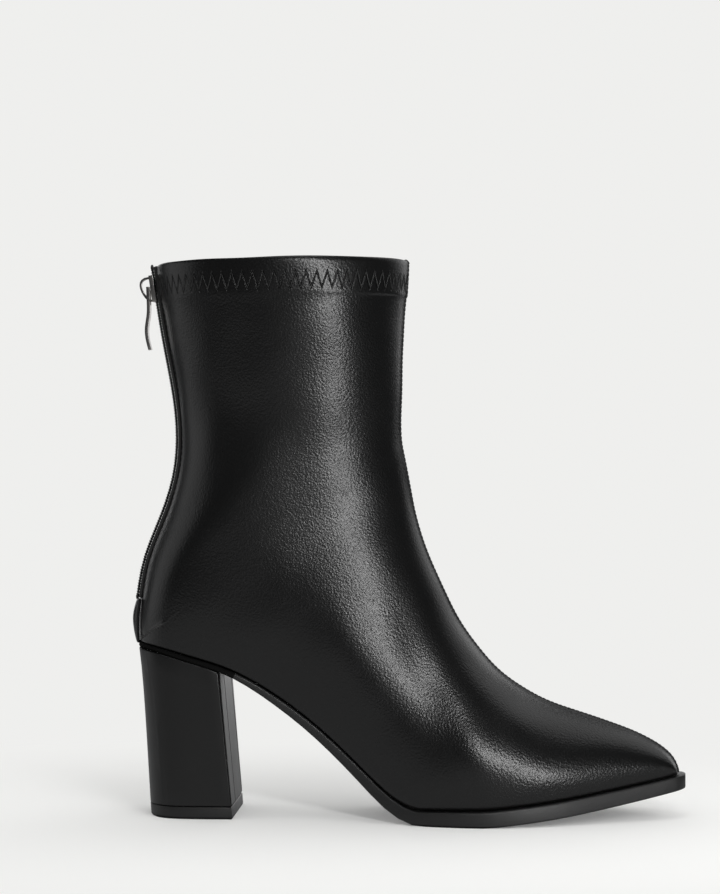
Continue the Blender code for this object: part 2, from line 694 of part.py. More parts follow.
def back_tab():
    """Padded tab on the back of the heel, shaped to the upper that it lies on."""
    rows = section_rows()
    rows["slit_half"] = np.zeros_like(rows["slit_half"])
    grid = upper_grid(rows)
    count, width = grid.shape[:2]
    corners = [i * width + j for i in range(count - 1) for j in range(width - 1)]
    faces = [(k, k + 1, k + 1 + width, k + width) for k in corners]
    tree = BVHTree.FromPolygons(grid.reshape(-1, 3).tolist(), faces)
    rings = []
    for share in np.linspace(0, 1, TAB_ROWS):
        z = TAB_FOOT_Z + (TAB_TOP_Z - TAB_FOOT_Z) * share
        swell = math.sin(math.pi * (TAB_SWELL_FROM + (TAB_SWELL_TO - TAB_SWELL_FROM) * share))
        seat, face = [], []
        for y in np.linspace(-TAB_HALF, TAB_HALF, TAB_COLUMNS):
            pad = TAB_EDGE + (TAB_THICK - TAB_EDGE) * swell * (1 - abs(y / TAB_HALF) ** TAB_SIDE_POWER)
            leather = tree.ray_cast(Vector((-LENGTH, y, z)), Vector((1, 0, 0)))[0].x - TAB_GAP
            seat.append((leather, y, z))
            face.append((leather - pad, y, z))
        rings.append(face + seat[::-1])
    return loft(rings)


def main():
    for item in list(bpy.data.objects):
        bpy.data.objects.remove(item)
    boot = bpy.data.objects.new("boot", None)
    boot.location = (-0.5 * LENGTH, 0, 0)
    bpy.context.scene.collection.objects.link(boot)

    finishes = {name: make_material(name, finish) for name, finish in FINISHES.items()}
    add_piece("outsole", outsole(), finishes["sole_black"], boot)
    add_piece("insole", insole(), finishes["lining"], boot)
    add_piece("heel", heel(), finishes["heel_cover"], boot)
    add_piece("top_lift", top_lift(), finishes["sole_black"], boot)
    add_piece("upper", upper(), finishes["black_leather"], boot)
    add_piece("back_tab", back_tab(), finishes["black_leather"], boot)
    add_piece("zip_tape", zip_run(TAPE_PROFILE), finishes["zip_black"], boot)
    add_piece("zip_chain", zip_run(CHAIN_PROFILE), finishes["zip_black"], boot)
    metal = finishes["gunmetal"]
    slider = add_piece("zip_slider", slider_channel(), metal, boot)
    add_boolean(slider, add_piece("slider_arch", slider_arch(), metal, boot), "UNION")
    pull = add_piece("zip_pull", pull_blade(), metal, boot, hinge_point())
    window = add_piece("pull_window", pull_window(), metal, boot, hinge_point())
    add_boolean(pull, window, "DIFFERENCE")


main()
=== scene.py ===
"""Looks of the block heel ankle boot: leather, lining, stitching, zip, and a pale studio round it.

Everything is in metres in the part's own frame. The toe points to +X, and the outer side of the foot
faces -Y, towards the camera. Tables are in millimetres, forward of the back tab and above the floor.
"""

import math
from collections import namedtuple

import bmesh
import bpy
import numpy as np
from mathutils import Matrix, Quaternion, Vector
from mathutils.bvhtree import BVHTree
from mathutils.kdtree import KDTree


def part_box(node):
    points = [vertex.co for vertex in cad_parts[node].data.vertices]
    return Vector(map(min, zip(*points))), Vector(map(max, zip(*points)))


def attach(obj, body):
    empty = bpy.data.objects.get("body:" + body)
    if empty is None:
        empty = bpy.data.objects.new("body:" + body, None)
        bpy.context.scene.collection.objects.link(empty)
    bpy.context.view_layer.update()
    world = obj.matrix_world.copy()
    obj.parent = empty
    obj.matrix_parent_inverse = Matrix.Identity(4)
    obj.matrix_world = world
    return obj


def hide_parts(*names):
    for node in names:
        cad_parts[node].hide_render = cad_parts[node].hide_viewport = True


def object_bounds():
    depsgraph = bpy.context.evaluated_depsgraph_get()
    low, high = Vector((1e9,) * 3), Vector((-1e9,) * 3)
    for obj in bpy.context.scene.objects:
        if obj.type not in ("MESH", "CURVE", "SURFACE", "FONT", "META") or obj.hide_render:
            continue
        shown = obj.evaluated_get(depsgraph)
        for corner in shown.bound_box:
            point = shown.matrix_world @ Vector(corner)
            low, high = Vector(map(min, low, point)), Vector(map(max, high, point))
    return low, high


MM = 0.001

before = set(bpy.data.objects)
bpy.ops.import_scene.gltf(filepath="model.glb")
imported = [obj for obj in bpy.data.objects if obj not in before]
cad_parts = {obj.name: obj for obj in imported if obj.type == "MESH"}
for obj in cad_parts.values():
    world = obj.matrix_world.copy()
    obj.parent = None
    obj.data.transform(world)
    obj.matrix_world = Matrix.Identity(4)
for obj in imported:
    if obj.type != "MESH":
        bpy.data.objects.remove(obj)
cad_low, cad_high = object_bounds()
BACK_X = cad_low.x

# Camera: level, turned a little towards the toe, with the photograph's frame
IMAGE_HEIGHT = 894
FOCAL_PIXELS = 2310
SENSOR = 36
CAMERA_DISTANCE = 1.05
CAMERA_HEIGHT = 166.4 * MM
CAMERA_TURN = math.radians(3.3)
LOOK_X = 103.94 * MM

# Merging and smoothing of the CAD nodes' triangles
MERGE = 0.02 * MM
JOIN_ANGLE = math.pi
JOIN_TOPOLOGY = 1.5
SHARP_ANGLE = math.radians(38)
# Radius of the rounded edges of the pieces that keep their node's shape
ROUNDING = {
    "outsole": 0.35 * MM,
    "insole": 0.3 * MM,
    "heel": 0.7 * MM,
    "top_lift": 0.4 * MM,
    "zip_tape": 0.3 * MM,
    "zip_slider": 0.2 * MM,
    "zip_pull": 0.2 * MM,
}
ROUNDING_STEPS = 3

# Upper
RIM_CREASE = 0.35
RIM_ANGLE = math.radians(62)
# Evening out: a step in and a step out, and how often
EVEN_FACTORS = (0.5, -0.53)
EVEN_TIMES = 15
# Half of the front seam's width
SEAM_HALF = 2.2 * MM
# The bend from shaft to foot, seen from the side: a line from the back of the heel to the front seam
BEND_LINE = [(4, 79), (124, 160)]
BEND_REACH = (12 * MM, 26 * MM)
PATCH_REACH = 16 * MM
PATCH_SPREAD = 9 * MM
PATCH_FACING = 0.5
# How far a face of the lining looks for the wall across from it
LINING_REACH = 0.2
ROW_LIMIT = 60
FIRST_SHARE = 0.01
RIM_NEAR = 0.5 * MM
PROBE_LIFT = 0.05 * MM
# Zigzag seam of the turned cuff, by its drop under the rim
ZIGZAG_DROP = 10.6 * MM
ZIGZAG_TALL = 7.0 * MM
ZIGZAG_PITCH = 4.7 * MM
COLLAR_STEPS = 400
COLLAR_REACH = 0.2
# Ends of the collar along the boot, and the end of its back part, in millimetres
RIM_BACK = 11
RIM_FRONT = 125
RIM_BACK_END = 22
# Folds and waves fade out over this height above the sole
FEATHER = (2 * MM, 11 * MM)
FEATHER_BINS = 80

# Soft folds of the leather, drawn on one side of the boot. Depth is inward, so a ridge is negative.
Fold = namedtuple("Fold", "side depth width path")
FOLDS = [
    Fold(-1, 0.9, 12, [(133, 106), (139, 92), (147, 78)]),
    Fold(-1, 1.8, 10, [(120, 108), (126, 90), (131, 74), (138, 57), (147, 43)]),
    Fold(-1, -1.2, 10, [(90, 104), (96, 90), (103, 75), (109, 62), (116, 50), (127, 38)]),
    Fold(-1, -1.2, 9, [(151, 42), (156, 32), (160, 20)]),
    Fold(-1, -0.5, 7, [(170, 58), (173, 48), (176, 38)]),
    Fold(-1, 0.4, 12, [(60, 128), (78, 122), (96, 112)]),
    Fold(-1, 0.9, 14, [(76, 195), (77, 165), (80, 138)]),
    Fold(-1, -0.9, 13, [(110, 195), (111, 165), (113, 142)]),
    Fold(1, 1.3, 9, [(118, 104), (128, 82), (138, 68), (150, 56), (160, 44), (164, 30)]),
    Fold(1, -0.5, 8, [(172, 58), (178, 46), (180, 34)]),
    Fold(1, 0.4, 10, [(62, 130), (80, 122), (98, 110)]),
]
FOLD_SAMPLES = 40
FOLD_SIDE = 16 * MM
FOLD_FADE = 0.7
# Slow waves that keep the leather from looking turned on a lathe
Wave = namedtuple("Wave", "height length along")
WAVES = [
    Wave(0.10, 43, (0.8, 0.2, 0.55)),
    Wave(0.08, 31, (0.3, -0.4, 0.87)),
    Wave(0.06, 23, (-0.6, 0.5, 0.62)),
]

# Stitches and zip
ZIP_TOOTH_PITCH = 1.25 * MM
# Corners in one ring of the zip chain, levels of its path a ring, and decimals that tell corners apart
CHAIN_STATION_POINTS = 6
CHAIN_LEVELS = 4
CHAIN_DECIMALS = 6
# The tape's edges are let into the leather on both sides
TAPE_TUCK = 0.7 * MM
TAPE_EDGE_SHARE = 0.5
SLIT_STITCH_Y = 7.0 * MM
SLIT_STITCH_PITCH = 2.6 * MM
SLIT_STITCH_STOP = 2 * MM
SLIT_PROBE = 0.05
SEAM_RIB_PITCH = 2.0 * MM
SEAM_STEPS = 600
SEAM_BACK = 100
ZIGZAG_OVERLAP = 1.15

# The padded tab hangs down to the heel's top line
TAB_CREASE = 0.3
TAB_HANG = 2.0 * MM
TAB_HANG_SHARE = 0.6

# Heel cover: lines down the breast, from the middle, with their depths
BreastLine = namedtuple("BreastLine", "y depth half")
BREAST_LINES = [BreastLine(-6.0, 0.9, 0.7), BreastLine(-21.0, 0.9, 0.6), BreastLine(21.0, 0.9, 0.6)]
BREAST_FACING = 0.3
# Past this the cover's turned edge, on the outer side, is painted dull black as shade
COVER_EDGE = -21.0 * MM

# Studio. Reflections see its lamps and panels alone, in a dark room.
BOWL_CENTRE = 0.02
BOWL_FLAT = 1.7
BOWL_BEND = 1.3
BOWL_TOP = 4.0
BOWL_STEPS = 24
BOWL_SPOKES = 96
PAPER = 0.862
PAPER_GLOW = 0.135
PAPER_BLUE = 0.985 * PAPER
FLOOR_COLOUR = (0.8, 0.8, 0.79, 1)
# Shadows fall on the floor up to the first distance, and are gone at the second
SHADOW_FLOOR = (0.10, 0.27)
SHADOW_STRETCH = 0.65
AIR_COLOUR = (0.9, 0.95, 1.0, 1)
AIR_GLOW = 0.04

# Leather: its pebbles, the fine grain on them, and the groove that the zigzag presses, with painted shade
# in it
PEBBLE_SIZE = 0.85 * MM
PEBBLE_DEPTH = 0.10 * MM
GRAIN_SIZE = 0.55 * MM
GRAIN_HEIGHT = 0.03 * MM
GROOVE_EDGE = (0.3 * MM, 1.5 * MM)
GROOVE_DEPTH = 0.35 * MM
JET_BLACK = 0.0025
# Cloths: the two ways of their threads, with the scale of each wave texture
KNIT = (("Z", 340.0), ("X", 340.0))
WEAVE = (("Y", 700.0), ("Z", 500.0))


def from_back(x):
    """Place along the boot, from millimetres forward of the back tab."""
    return BACK_X + x * MM


def add_object(name, mesh):
    """Object at the origin from a mesh."""
    item = bpy.data.objects.new(name, mesh)
    bpy.context.scene.collection.objects.link(item)
    return item


def settle(item):
    """Turn an object's modifiers into plain mesh."""
    depsgraph = bpy.context.evaluated_depsgraph_get()
    mesh = bpy.data.meshes.new_from_object(item.evaluated_get(depsgraph))
    item.modifiers.clear()
    item.data = mesh
    return item


# Camera and studio


def make_camera():
    """Camera at the photograph's place."""
    data = bpy.data.cameras.new("camera")
    data.sensor_width = SENSOR
    data.lens = FOCAL_PIXELS / IMAGE_HEIGHT * SENSOR
    camera = bpy.data.objects.new("camera", data)
    back = Vector((math.sin(CAMERA_TURN), -math.cos(CAMERA_TURN), 0))
    camera.location = Vector((BACK_X + LOOK_X, 0, CAMERA_HEIGHT)) + CAMERA_DISTANCE * back
    camera.rotation_euler = (math.pi / 2, 0, CAMERA_TURN)
    bpy.context.scene.collection.objects.link(camera)
    bpy.context.scene.camera = camera


Softbox = namedtuple("Softbox", "name azimuth elevation distance width height lean power")
SOFTBOXES = [
    Softbox("key", 28, 10, 0.88, 0.10, 0.82, 37, 5.4),
    Softbox("top", 10, 80, 1.7, 1.1, 1.1, 0, 5.4),
    Softbox("back_top", 130, 48, 1.8, 1.2, 1.0, 0, 3.0),
    Softbox("back_panel", 180, 12, 2.2, 3.2, 1.2, 0, 12.0),
    Softbox("left_panel", -95, 10, 1.5, 1.1, 1.0, 0, 1.9),
    Softbox("floor_board", 0, -90, 0.109, 1.3, 1.3, 0, 1.8),
    Softbox("right_panel", 132, 18, 1.8, 0.8, 0.8, 0, 1.2),
    Softbox("low_back", 176, -4, 0.8, 0.6, 0.10, 0, 0.26),
]
AIM_HEIGHT = 0.11


def make_lights():
    """Soft boxes round the boot. Azimuth 0 is the camera's side, and turns towards the toe.

    A box leans with its top to the lesser azimuth.
    """
    for box in SOFTBOXES:
        data = bpy.data.lights.new(box.name, "AREA")
        data.shape = "RECTANGLE"
        data.size = box.width
        data.size_y = box.height
        data.energy = box.power
        light = bpy.data.objects.new(box.name, data)
        turn, rise = math.radians(box.azimuth), math.radians(box.elevation)
        level = math.cos(rise)
        way = Vector((math.sin(turn) * level, -math.cos(turn) * level, math.sin(rise)))
        light.location = Vector((0, 0, AIM_HEIGHT)) + box.distance * way
        lean = Quaternion((0, 0, 1), math.radians(box.lean))
        light.rotation_euler = (way.to_track_quat("Z", "Y") @ lean).to_euler()
        light.visible_camera = False
        bpy.context.scene.collection.objects.link(light)


def make_studio():
    """Pale floor that curves up into a wall all round, and the room's dim air."""
    turn = np.linspace(0, math.pi / 2, BOWL_STEPS)
    profile = [(BOWL_CENTRE, 0.0), (0.5 * BOWL_FLAT, 0.0)]
    profile += [(BOWL_FLAT + BOWL_BEND * math.sin(t), BOWL_BEND * (1 - math.cos(t))) for t in turn]
    profile.append((BOWL_FLAT + BOWL_BEND, BOWL_TOP))
    spokes = np.linspace(0, 2 * math.pi, BOWL_SPOKES, endpoint=False)
    points = [(r * math.cos(a), r * math.sin(a), z) for r, z in profile for a in spokes]
    faces = [tuple(range(BOWL_SPOKES))]
    for i in range(len(profile) - 1):
        for j in range(BOWL_SPOKES):
            k = (j + 1) % BOWL_SPOKES
            low, high = i * BOWL_SPOKES, (i + 1) * BOWL_SPOKES
            faces.append((low + k, low + j, high + j, high + k))
    mesh = bpy.data.meshes.new("studio")
    mesh.from_pydata(points, [], faces)
    mesh.shade_smooth()
    mesh.materials.append(studio_paper())
    studio = add_object("studio", mesh)
    studio.visible_glossy = False

    world = bpy.data.worlds.new("studio_air")
    world.use_nodes = True
    air = world.node_tree.nodes["Background"]
    air.inputs["Color"].default_value = AIR_COLOUR
    air.inputs["Strength"].default_value = AIR_GLOW
    bpy.context.scene.world = world
    bpy.context.scene.view_settings.view_transform = "Standard"


# Materials


class Value:
    """A socket of a material's nodes. Arithmetic on it adds Math nodes."""

    def __init__(self, finish, socket):
        self.finish = finish
        self.socket = socket

    def maths(self, operation, *values):
        return self.finish.node("ShaderNodeMath", {"operation": operation}, dict(enumerate(values)))

    def __add__(self, other):
        return self.maths("ADD", self, other)

    def __sub__(self, other):
        return self.maths("SUBTRACT", self, other)

    def __rsub__(self, other):
        return self.maths("SUBTRACT", other, self)

    def __mul__(self, other):
        return self.maths("MULTIPLY", self, other)

    def __abs__(self):
        return self.maths("ABSOLUTE", self)

    def __pow__(self, other):
        return self.maths("POWER", self, other)

    __radd__ = __add__
    __rmul__ = __mul__

    def ping_pong(self, scale):
        """Rise from 0 to a scale and fall back, over and over."""
        return self.maths("PINGPONG", self, scale)

    def rise(self, low, high):
        """Smooth step from 0 at low to 1 at high."""
        settings = {"interpolation_type": "SMOOTHSTEP"}
        sockets = {"Value": self, "From Min": low, "From Max": high}
        return self.finish.node("ShaderNodeMapRange", settings, sockets)


class Finish:
    """One material, made of nodes."""

    def __init__(self, name):
        self.material = bpy.data.materials.new(name)
        self.material.use_nodes = True
        self.tree = self.material.node_tree
        self.shader = self.tree.nodes["Principled BSDF"]

    def node(self, kind, settings=None, sockets=None, output=0):
        """New node: its settings first, then values or links for its sockets. Gives one output."""
        node = self.tree.nodes.new(kind)
        for name, value in (settings or {}).items():
            setattr(node, name, value)
        self.fill(node, sockets or {})
        return Value(self, node.outputs[output])

    def fill(self, node, sockets):
        """Set or link the sockets of a node."""
        for key, value in sockets.items():
            if isinstance(value, Value):
                self.tree.links.new(value.socket, node.inputs[key])
            else:
                node.inputs[key].default_value = value

    def place(self):
        """Object coordinates, in metres."""
        return self.node("ShaderNodeTexCoord", output="Object")

    def noise(self, size, detail=2.0):
        """Soft noise of a given size, from 0 to 1."""
        sockets = {"Vector": self.place(), "Scale": 1 / size, "Detail": detail}
        return self.node("ShaderNodeTexNoise", None, sockets)

    def cells(self, size):
        """Distance from the middle of the nearest of many cells of a given size."""
        sockets = {"Vector": self.place(), "Scale": 1 / size}
        return self.node("ShaderNodeTexVoronoi", {"feature": "SMOOTH_F1"}, sockets, "Distance")

    def axis(self, name):
        """One of the object's coordinates, in metres."""
        return self.node("ShaderNodeSeparateXYZ", None, {"Vector": self.place()}, name)

    def attribute(self, name):
        """A number kept on the mesh."""
        return self.node("ShaderNodeAttribute", {"attribute_name": name}, None, "Fac")

    def mix(self, share, first, second):
        """Colour between two, by a share."""
        return self.node("ShaderNodeMix", {"data_type": "RGBA"}, {0: share, 6: first, 7: second}, 2)

    def bump(self, height):
        """Normal from a height in metres."""
        sockets = {"Height": height, "Distance": 1.0, "Strength": 1.0}
        return self.node("ShaderNodeBump", None, sockets, "Normal")

    def done(self, **sockets):
        """Set the shader's sockets, with underscores for spaces, and give the material."""
        self.fill(self.shader, {key.replace("_", " "): value for key, value in sockets.items()})
        return self.material


def grey(value):
    return (value, value, value, 1)


def leather():
    """Black smooth leather look with a fine pebble grain, a satin gloss, and painted shade in the zigzag's
    groove.
    """
    finish = Finish("black_leather")
    pebble = finish.cells(PEBBLE_SIZE)
    fine = finish.noise(GRAIN_SIZE, 1.0)
    soft = finish.noise(9 * MM)
    run, drop = finish.attribute("run"), finish.attribute("drop")
    leg = (run + 0.25 * ZIGZAG_PITCH).ping_pong(0.5 * ZIGZAG_PITCH)
    line = ZIGZAG_DROP - 0.5 * ZIGZAG_TALL + leg * (ZIGZAG_TALL / (0.5 * ZIGZAG_PITCH))
    groove_and_shade = 1 - abs(drop - line).rise(*GROOVE_EDGE)
    height = pebble * -PEBBLE_DEPTH + fine * GRAIN_HEIGHT - groove_and_shade * GROOVE_DEPTH
    # Painted shade: the zigzag's groove is coloured darker than the rest of the leather
    colour = finish.mix(groove_and_shade, grey(JET_BLACK), grey(0.001))
    rough = 0.25 + soft * 0.05 + pebble * 0.06
    return finish.done(Base_Color=colour, Roughness=rough, Normal=finish.bump(height))


def cover():
    """Smooth black cover of the heel."""
    finish = Finish("heel_cover")
    fine = finish.noise(0.5 * MM, 2.0)
    soft = finish.noise(14 * MM)
    rough = 0.34 + soft * 0.1
    return finish.done(Base_Color=grey(JET_BLACK), Roughness=rough, Normal=finish.bump(fine * (0.03 * MM)))


def moulded():
    """Matt black moulded sole."""
    finish = Finish("sole_black")
    fine = finish.noise(0.4 * MM, 3.0)
    soft = finish.noise(11 * MM)
    rough = 0.40 + soft * 0.12
    return finish.done(Base_Color=grey(0.005), Roughness=rough, Normal=finish.bump(fine * (0.05 * MM)))


def woven(name, threads, colours, rough, depth):
    """Cloth of crossed threads, with painted shade: its hollows take a darker colour than its tops."""
    finish = Finish(name)
    waves = []
    for way, scale in threads:
        sockets = {"Vector": finish.place(), "Scale": scale}
        waves.append(finish.node("ShaderNodeTexWave", {"bands_direction": way}, sockets))
    cloth = waves[0] * waves[1]
    hollow_shade, top = colours
    # Painted shade: the hollows between the threads are darker than the tops
    colour = finish.mix(cloth, grey(hollow_shade), grey(top))
    return finish.done(Base_Color=colour, Roughness=rough, Normal=finish.bump(cloth * depth))


def painted_shade_black():
    """Dull black of painted shade: on the sole's edge over the heel, in the shade of the seat, and on the
    turned edge of the heel's cover.
    """
    finish = Finish("seat_painted_shade")
    return finish.done(Base_Color=grey(0.002), Roughness=0.9, Specular_IOR_Level=0.08)


def plain_black(name, colour, rough):
    """Black thread or plastic with a little unevenness."""
    finish = Finish(name)
    soft = finish.noise(2 * MM)
    return finish.done(Base_Color=grey(colour), Roughness=rough + soft * 0.15)


def nickel():
    """Dark polished nickel."""
    finish = Finish("zip_metal")
    soft = finish.noise(3 * MM, 3.0)
    rough = 0.22 + soft * 0.14
    return finish.done(Base_Color=(0.48, 0.46, 0.44, 1), Metallic=1.0, Roughness=rough)


def studio_paper():
    """Pale paper that glows: fully far off, and less near the boot, where shadows fall."""
    finish = Finish("studio_paper")
    x, y = finish.axis("X"), finish.axis("Y")
    x = x * SHADOW_STRETCH
    far = ((x * x + y * y) ** 0.5).rise(*SHADOW_FLOOR)
    glow = finish.mix(far, grey(PAPER_GLOW), (PAPER, PAPER, PAPER_BLUE, 1))
    colour = finish.mix(far, FLOOR_COLOUR, grey(0.0))
    surface = {"Roughness": 1.0, "Specular_IOR_Level": 0.0}
    return finish.done(Base_Color=colour, Emission_Color=glow, Emission_Strength=1.0, **surface)


# Pieces from the CAD nodes


def merged_node(name):
    """A CAD node's loose triangles, merged, without the normals they came with."""
    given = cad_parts[name].data
    plain = bpy.data.meshes.new("plain")
    plain.from_pydata([v.co for v in given.vertices], [], [tuple(p.vertices) for p in given.polygons])
    work = bmesh.new()
    work.from_mesh(plain)
    bpy.data.meshes.remove(plain)
    bmesh.ops.remove_doubles(work, verts=work.verts, dist=MERGE)
    return work


def paired_node(name):
    """A CAD node's loose triangles, merged and paired into quads."""
    work = merged_node(name)
    join_triangles(work, work.faces[:])
    return work


def join_triangles(work, faces):
    """Pair triangles into quads by their shape."""
    bmesh.ops.join_triangles(
        work,
        faces=faces,
        angle_face_threshold=JOIN_ANGLE,
        angle_shape_threshold=JOIN_ANGLE,
        topology_influence=JOIN_TOPOLOGY,
    )


def finish_piece(piece, node, body, slot, *materials):
    """Give a piece its materials, in the order its faces count them, and set it in place of a CAD node."""
    for material in materials:
        piece.data.materials.append(material)
    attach(piece, body)
    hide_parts(node)
    return piece


def rounded_piece(name, node):
    """Copy of a CAD node with its sharp edges rounded off."""
    work = paired_node(node)
    mesh = bpy.data.meshes.new(name)
    work.to_mesh(mesh)
    work.free()
    piece = add_object(name, mesh)
    rounding = piece.modifiers.new("rounding", "BEVEL")
    rounding.width = ROUNDING[node]
    rounding.segments = ROUNDING_STEPS
    rounding.limit_method = "ANGLE"
    rounding.angle_limit = SHARP_ANGLE
    rounding.harden_normals = False
    settle(piece)
    piece.data.shade_smooth()
    piece.data.set_sharp_from_angle(angle=SHARP_ANGLE)
    return piece


def mark_faces(piece, chosen):
    """Give the faces that a rule chooses the second material."""
    for polygon in piece.data.polygons:
        polygon.material_index = 1 if chosen(polygon) else 0


def score_breast(piece):
    """Press the seam and edges of the heel's cover into the breast."""
    work = bmesh.new()
    work.from_mesh(piece.data)
    for line in BREAST_LINES:
        for offset in (-line.half, 0, line.half):
            everything = work.verts[:] + work.edges[:] + work.faces[:]
            middle = Vector((0, (line.y + offset) * MM, 0))
            bmesh.ops.bisect_plane(work, geom=everything, plane_co=middle, plane_no=(0, 1, 0))
        work.normal_update()
        for vertex in work.verts:
            if abs(vertex.co.y - line.y * MM) < MERGE and vertex.normal.x > BREAST_FACING:
                vertex.co.x -= line.depth * MM
    work.to_mesh(piece.data)
    work.free()
    piece.data.set_sharp_from_angle(angle=SHARP_ANGLE)
    return piece


def hold_edges(work, crease):
    """Crease the sharp edges of a mesh, and give the vertices on them."""
    hold = work.edges.layers.float.new("crease_edge")
    held = set()
    for edge in work.edges:
        if edge.calc_face_angle(0) > RIM_ANGLE:
            edge[hold] = crease
            held.update(edge.verts)
    return held


def subdivide(piece, levels):
    """Add a smoothing subdivision to a piece."""
    smoothing = piece.modifiers.new("smoothing", "SUBSURF")
    smoothing.levels = levels
    smoothing.render_levels = levels


def make_tab(material):
    """Padded tab, with its lower part let down to the heel."""
    work = paired_node("back_tab")
    hold_edges(work, TAB_CREASE)
    mesh = bpy.data.meshes.new("heel_tab")
    work.to_mesh(mesh)
    work.free()
    mesh.shade_smooth()
    tab = add_object("heel_tab", mesh)
    subdivide(tab, 2)
    settle(tab)
    low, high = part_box("back_tab")
    for vertex in tab.data.vertices:
        share = (high.z - vertex.co.z) / (high.z - low.z)
        vertex.co.z -= TAB_HANG * smooth_rise(share, 1 - TAB_HANG_SHARE, 1.0)
    return finish_piece(tab, "back_tab", "boot", "leather", material)


def make_tape(material):
    """Zip tape, with its edges let into the leather, which keeps out most of the light beside it."""
    piece = rounded_piece("tape", "zip_tape")
    edge = TAPE_EDGE_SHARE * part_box("zip_tape")[1].y
    for vertex in piece.data.vertices:
        if abs(vertex.co.y) > edge:
            vertex.co.y += math.copysign(TAPE_TUCK, vertex.co.y)
    return finish_piece(piece, "zip_tape", "boot", "zip_tape", material)


# Upper


def wall_tree():
    """Tree of the walls round the space for the foot: the upper, the zip's tape and the insole."""
    points, faces = [], []
    for name in ("upper", "zip_tape", "insole"):
        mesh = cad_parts[name].data
        start = len(points)
        points += [vertex.co for vertex in mesh.vertices]
        faces += [[start + i for i in polygon.vertices] for polygon in mesh.polygons]
    return BVHTree.FromPolygons(points, faces)


def faces_wall(tree, point, normal):
    """Whether a point of the upper looks at another wall, as its lining does."""
    return tree.ray_cast(point + PROBE_LIFT * normal, normal, LINING_REACH)[0] is not None


def mark_lining(work):
    """Give the faces that look at another wall the second material."""
    tree = wall_tree()
    for face in work.faces:
        face.material_index = 1 if faces_wall(tree, face.calc_center_median(), face.normal) else 0


def sole_line(points):
    """Height of the upper's lower edge under each point."""
    edges = np.linspace(points[:, 0].min(), points[:, 0].max(), FEATHER_BINS)
    bins = np.digitize(points[:, 0], edges)
    lowest = np.array([points[bins == i, 2].min() for i in range(1, FEATHER_BINS)])
    return np.interp(points[:, 0], 0.5 * (edges[1:] + edges[:-1]), lowest)


def fold_shift(points):
    """How far the folds push points inward, in metres. Each is a row of soft dents along its path."""
    shift = np.zeros(len(points))
    for fold in FOLDS:
        path = np.array([(from_back(x), z * MM) for x, z in fold.path])
        stops = np.linspace(0, len(path) - 1, FOLD_SAMPLES)
        dents = np.stack([np.interp(stops, range(len(path)), path[:, i]) for i in range(2)], 1)
        width = fold.width * MM
        steps = np.linalg.norm(np.gradient(dents, axis=0), axis=1)
        weights = np.sin(np.pi * (np.arange(FOLD_SAMPLES) + 0.5) / FOLD_SAMPLES) ** FOLD_FADE
        weights *= steps / (width * math.sqrt(math.pi))
        on_side = np.clip(0.5 + fold.side * points[:, 1] / FOLD_SIDE, 0, 1)
        for dent, weight in zip(dents, weights):
            gap = ((points[:, [0, 2]] - dent) ** 2).sum(1)
            shift += on_side * fold.depth * MM * weight * np.exp(-gap / width**2)
    return shift


def wave_shift(points):
    """How far slow waves push points outward, in metres."""
    shift = np.zeros(len(points))
    for wave in WAVES:
        phase = points @ np.array(wave.along) / (wave.length * MM)
        shift += wave.height * MM * np.sin(2 * math.pi * phase)
    return shift


def rim_ends():
    """Height of the collar's rim at the back and at the front."""
    rim = np.array([vertex.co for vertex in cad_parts["upper"].data.vertices])
    back = rim[rim[:, 0] < from_back(RIM_BACK_END), 2].max()
    return back, rim[:, 2].max()


def rim_height(x, ends=rim_ends()):
    """Height of the collar's rim over places along the boot: it rises a little to the front."""
    return np.interp(x, [from_back(RIM_BACK), from_back(RIM_FRONT)], ends)


def collar_middle():
    """Middle of the shaft at the collar, along X."""
    return from_back(0.5 * (RIM_BACK + RIM_FRONT))


def smooth_rise(values, low, high):
    """Smooth step from 0 at low to 1 at high."""
    share = np.clip((values - low) / (high - low), 0, 1)
    return share * share * (3 - 2 * share)


def shared_edge(first, second):
    """The edge between two vertices."""
    return next(e for e in first.link_edges if e.other_vert(first) is second)


def third_vertex(face, first, second):
    """A triangle's vertex that is not one of two."""
    return next(v for v in face.verts if v is not first and v is not second)


def across(face, first, second):
    """The other face on the edge between two vertices."""
    return next((f for f in shared_edge(first, second).link_faces if f is not face), None)


class RowLine:
    """A row of the grid as seen from the side, where it is straight: its first point and its way."""

    def __init__(self, vertex):
        self.start = Vector((vertex.co.x, vertex.co.z))
        self.reach = Vector((0, 0))

    def add(self, vertex):
        """Take the way to a new point if it is the farthest yet."""
        step = Vector((vertex.co.x, vertex.co.z)) - self.start
        if step.length > self.reach.length:
            self.reach = step

    def miss(self, vertex):
        """How far a point is off the line."""
        step = Vector((vertex.co.x, vertex.co.z)) - self.start
        return abs(self.reach.normalized().cross(step))


def walk_row(edge, face, turn, ends):
    """Pairs of triangles along one row of the grid from the edge it starts at, and how far they stray.

    Each triangle makes a quad with one of its two other neighbours, the one that keeps both lines straight.
    The first has no lines to keep, and takes the neighbour that turn names.
    """
    a, b = edge.verts
    lines = RowLine(a), RowLine(b)
    pairs, total = [], 0.0
    while len(pairs) < ROW_LIMIT:
        x = third_vertex(face, a, b)
        choices = []
        for start in (b, a):
            far = across(face, start, x)
            y = third_vertex(far, start, x)
            over = (x, y) if start is b else (y, x)
            if pairs:
                miss = sum(line.miss(vertex) for line, vertex in zip(lines, over))
            else:
                way = (b.co - a.co).normalized()
                miss = FIRST_SHARE * sum(abs((v.co - u.co).dot(way)) for u, v in zip((a, b), over))
            choices.append((miss, over, far))
        miss, over, far = min(choices, key=lambda choice: choice[0]) if pairs else choices[turn]
        total += miss
        pairs.append((face, far))
        a, b = over
        for line, vertex in zip(lines, over):
            line.add(vertex)
        if shared_edge(a, b) in ends:
            return total / len(pairs), pairs
        face = across(far, a, b)
    return math.inf, []


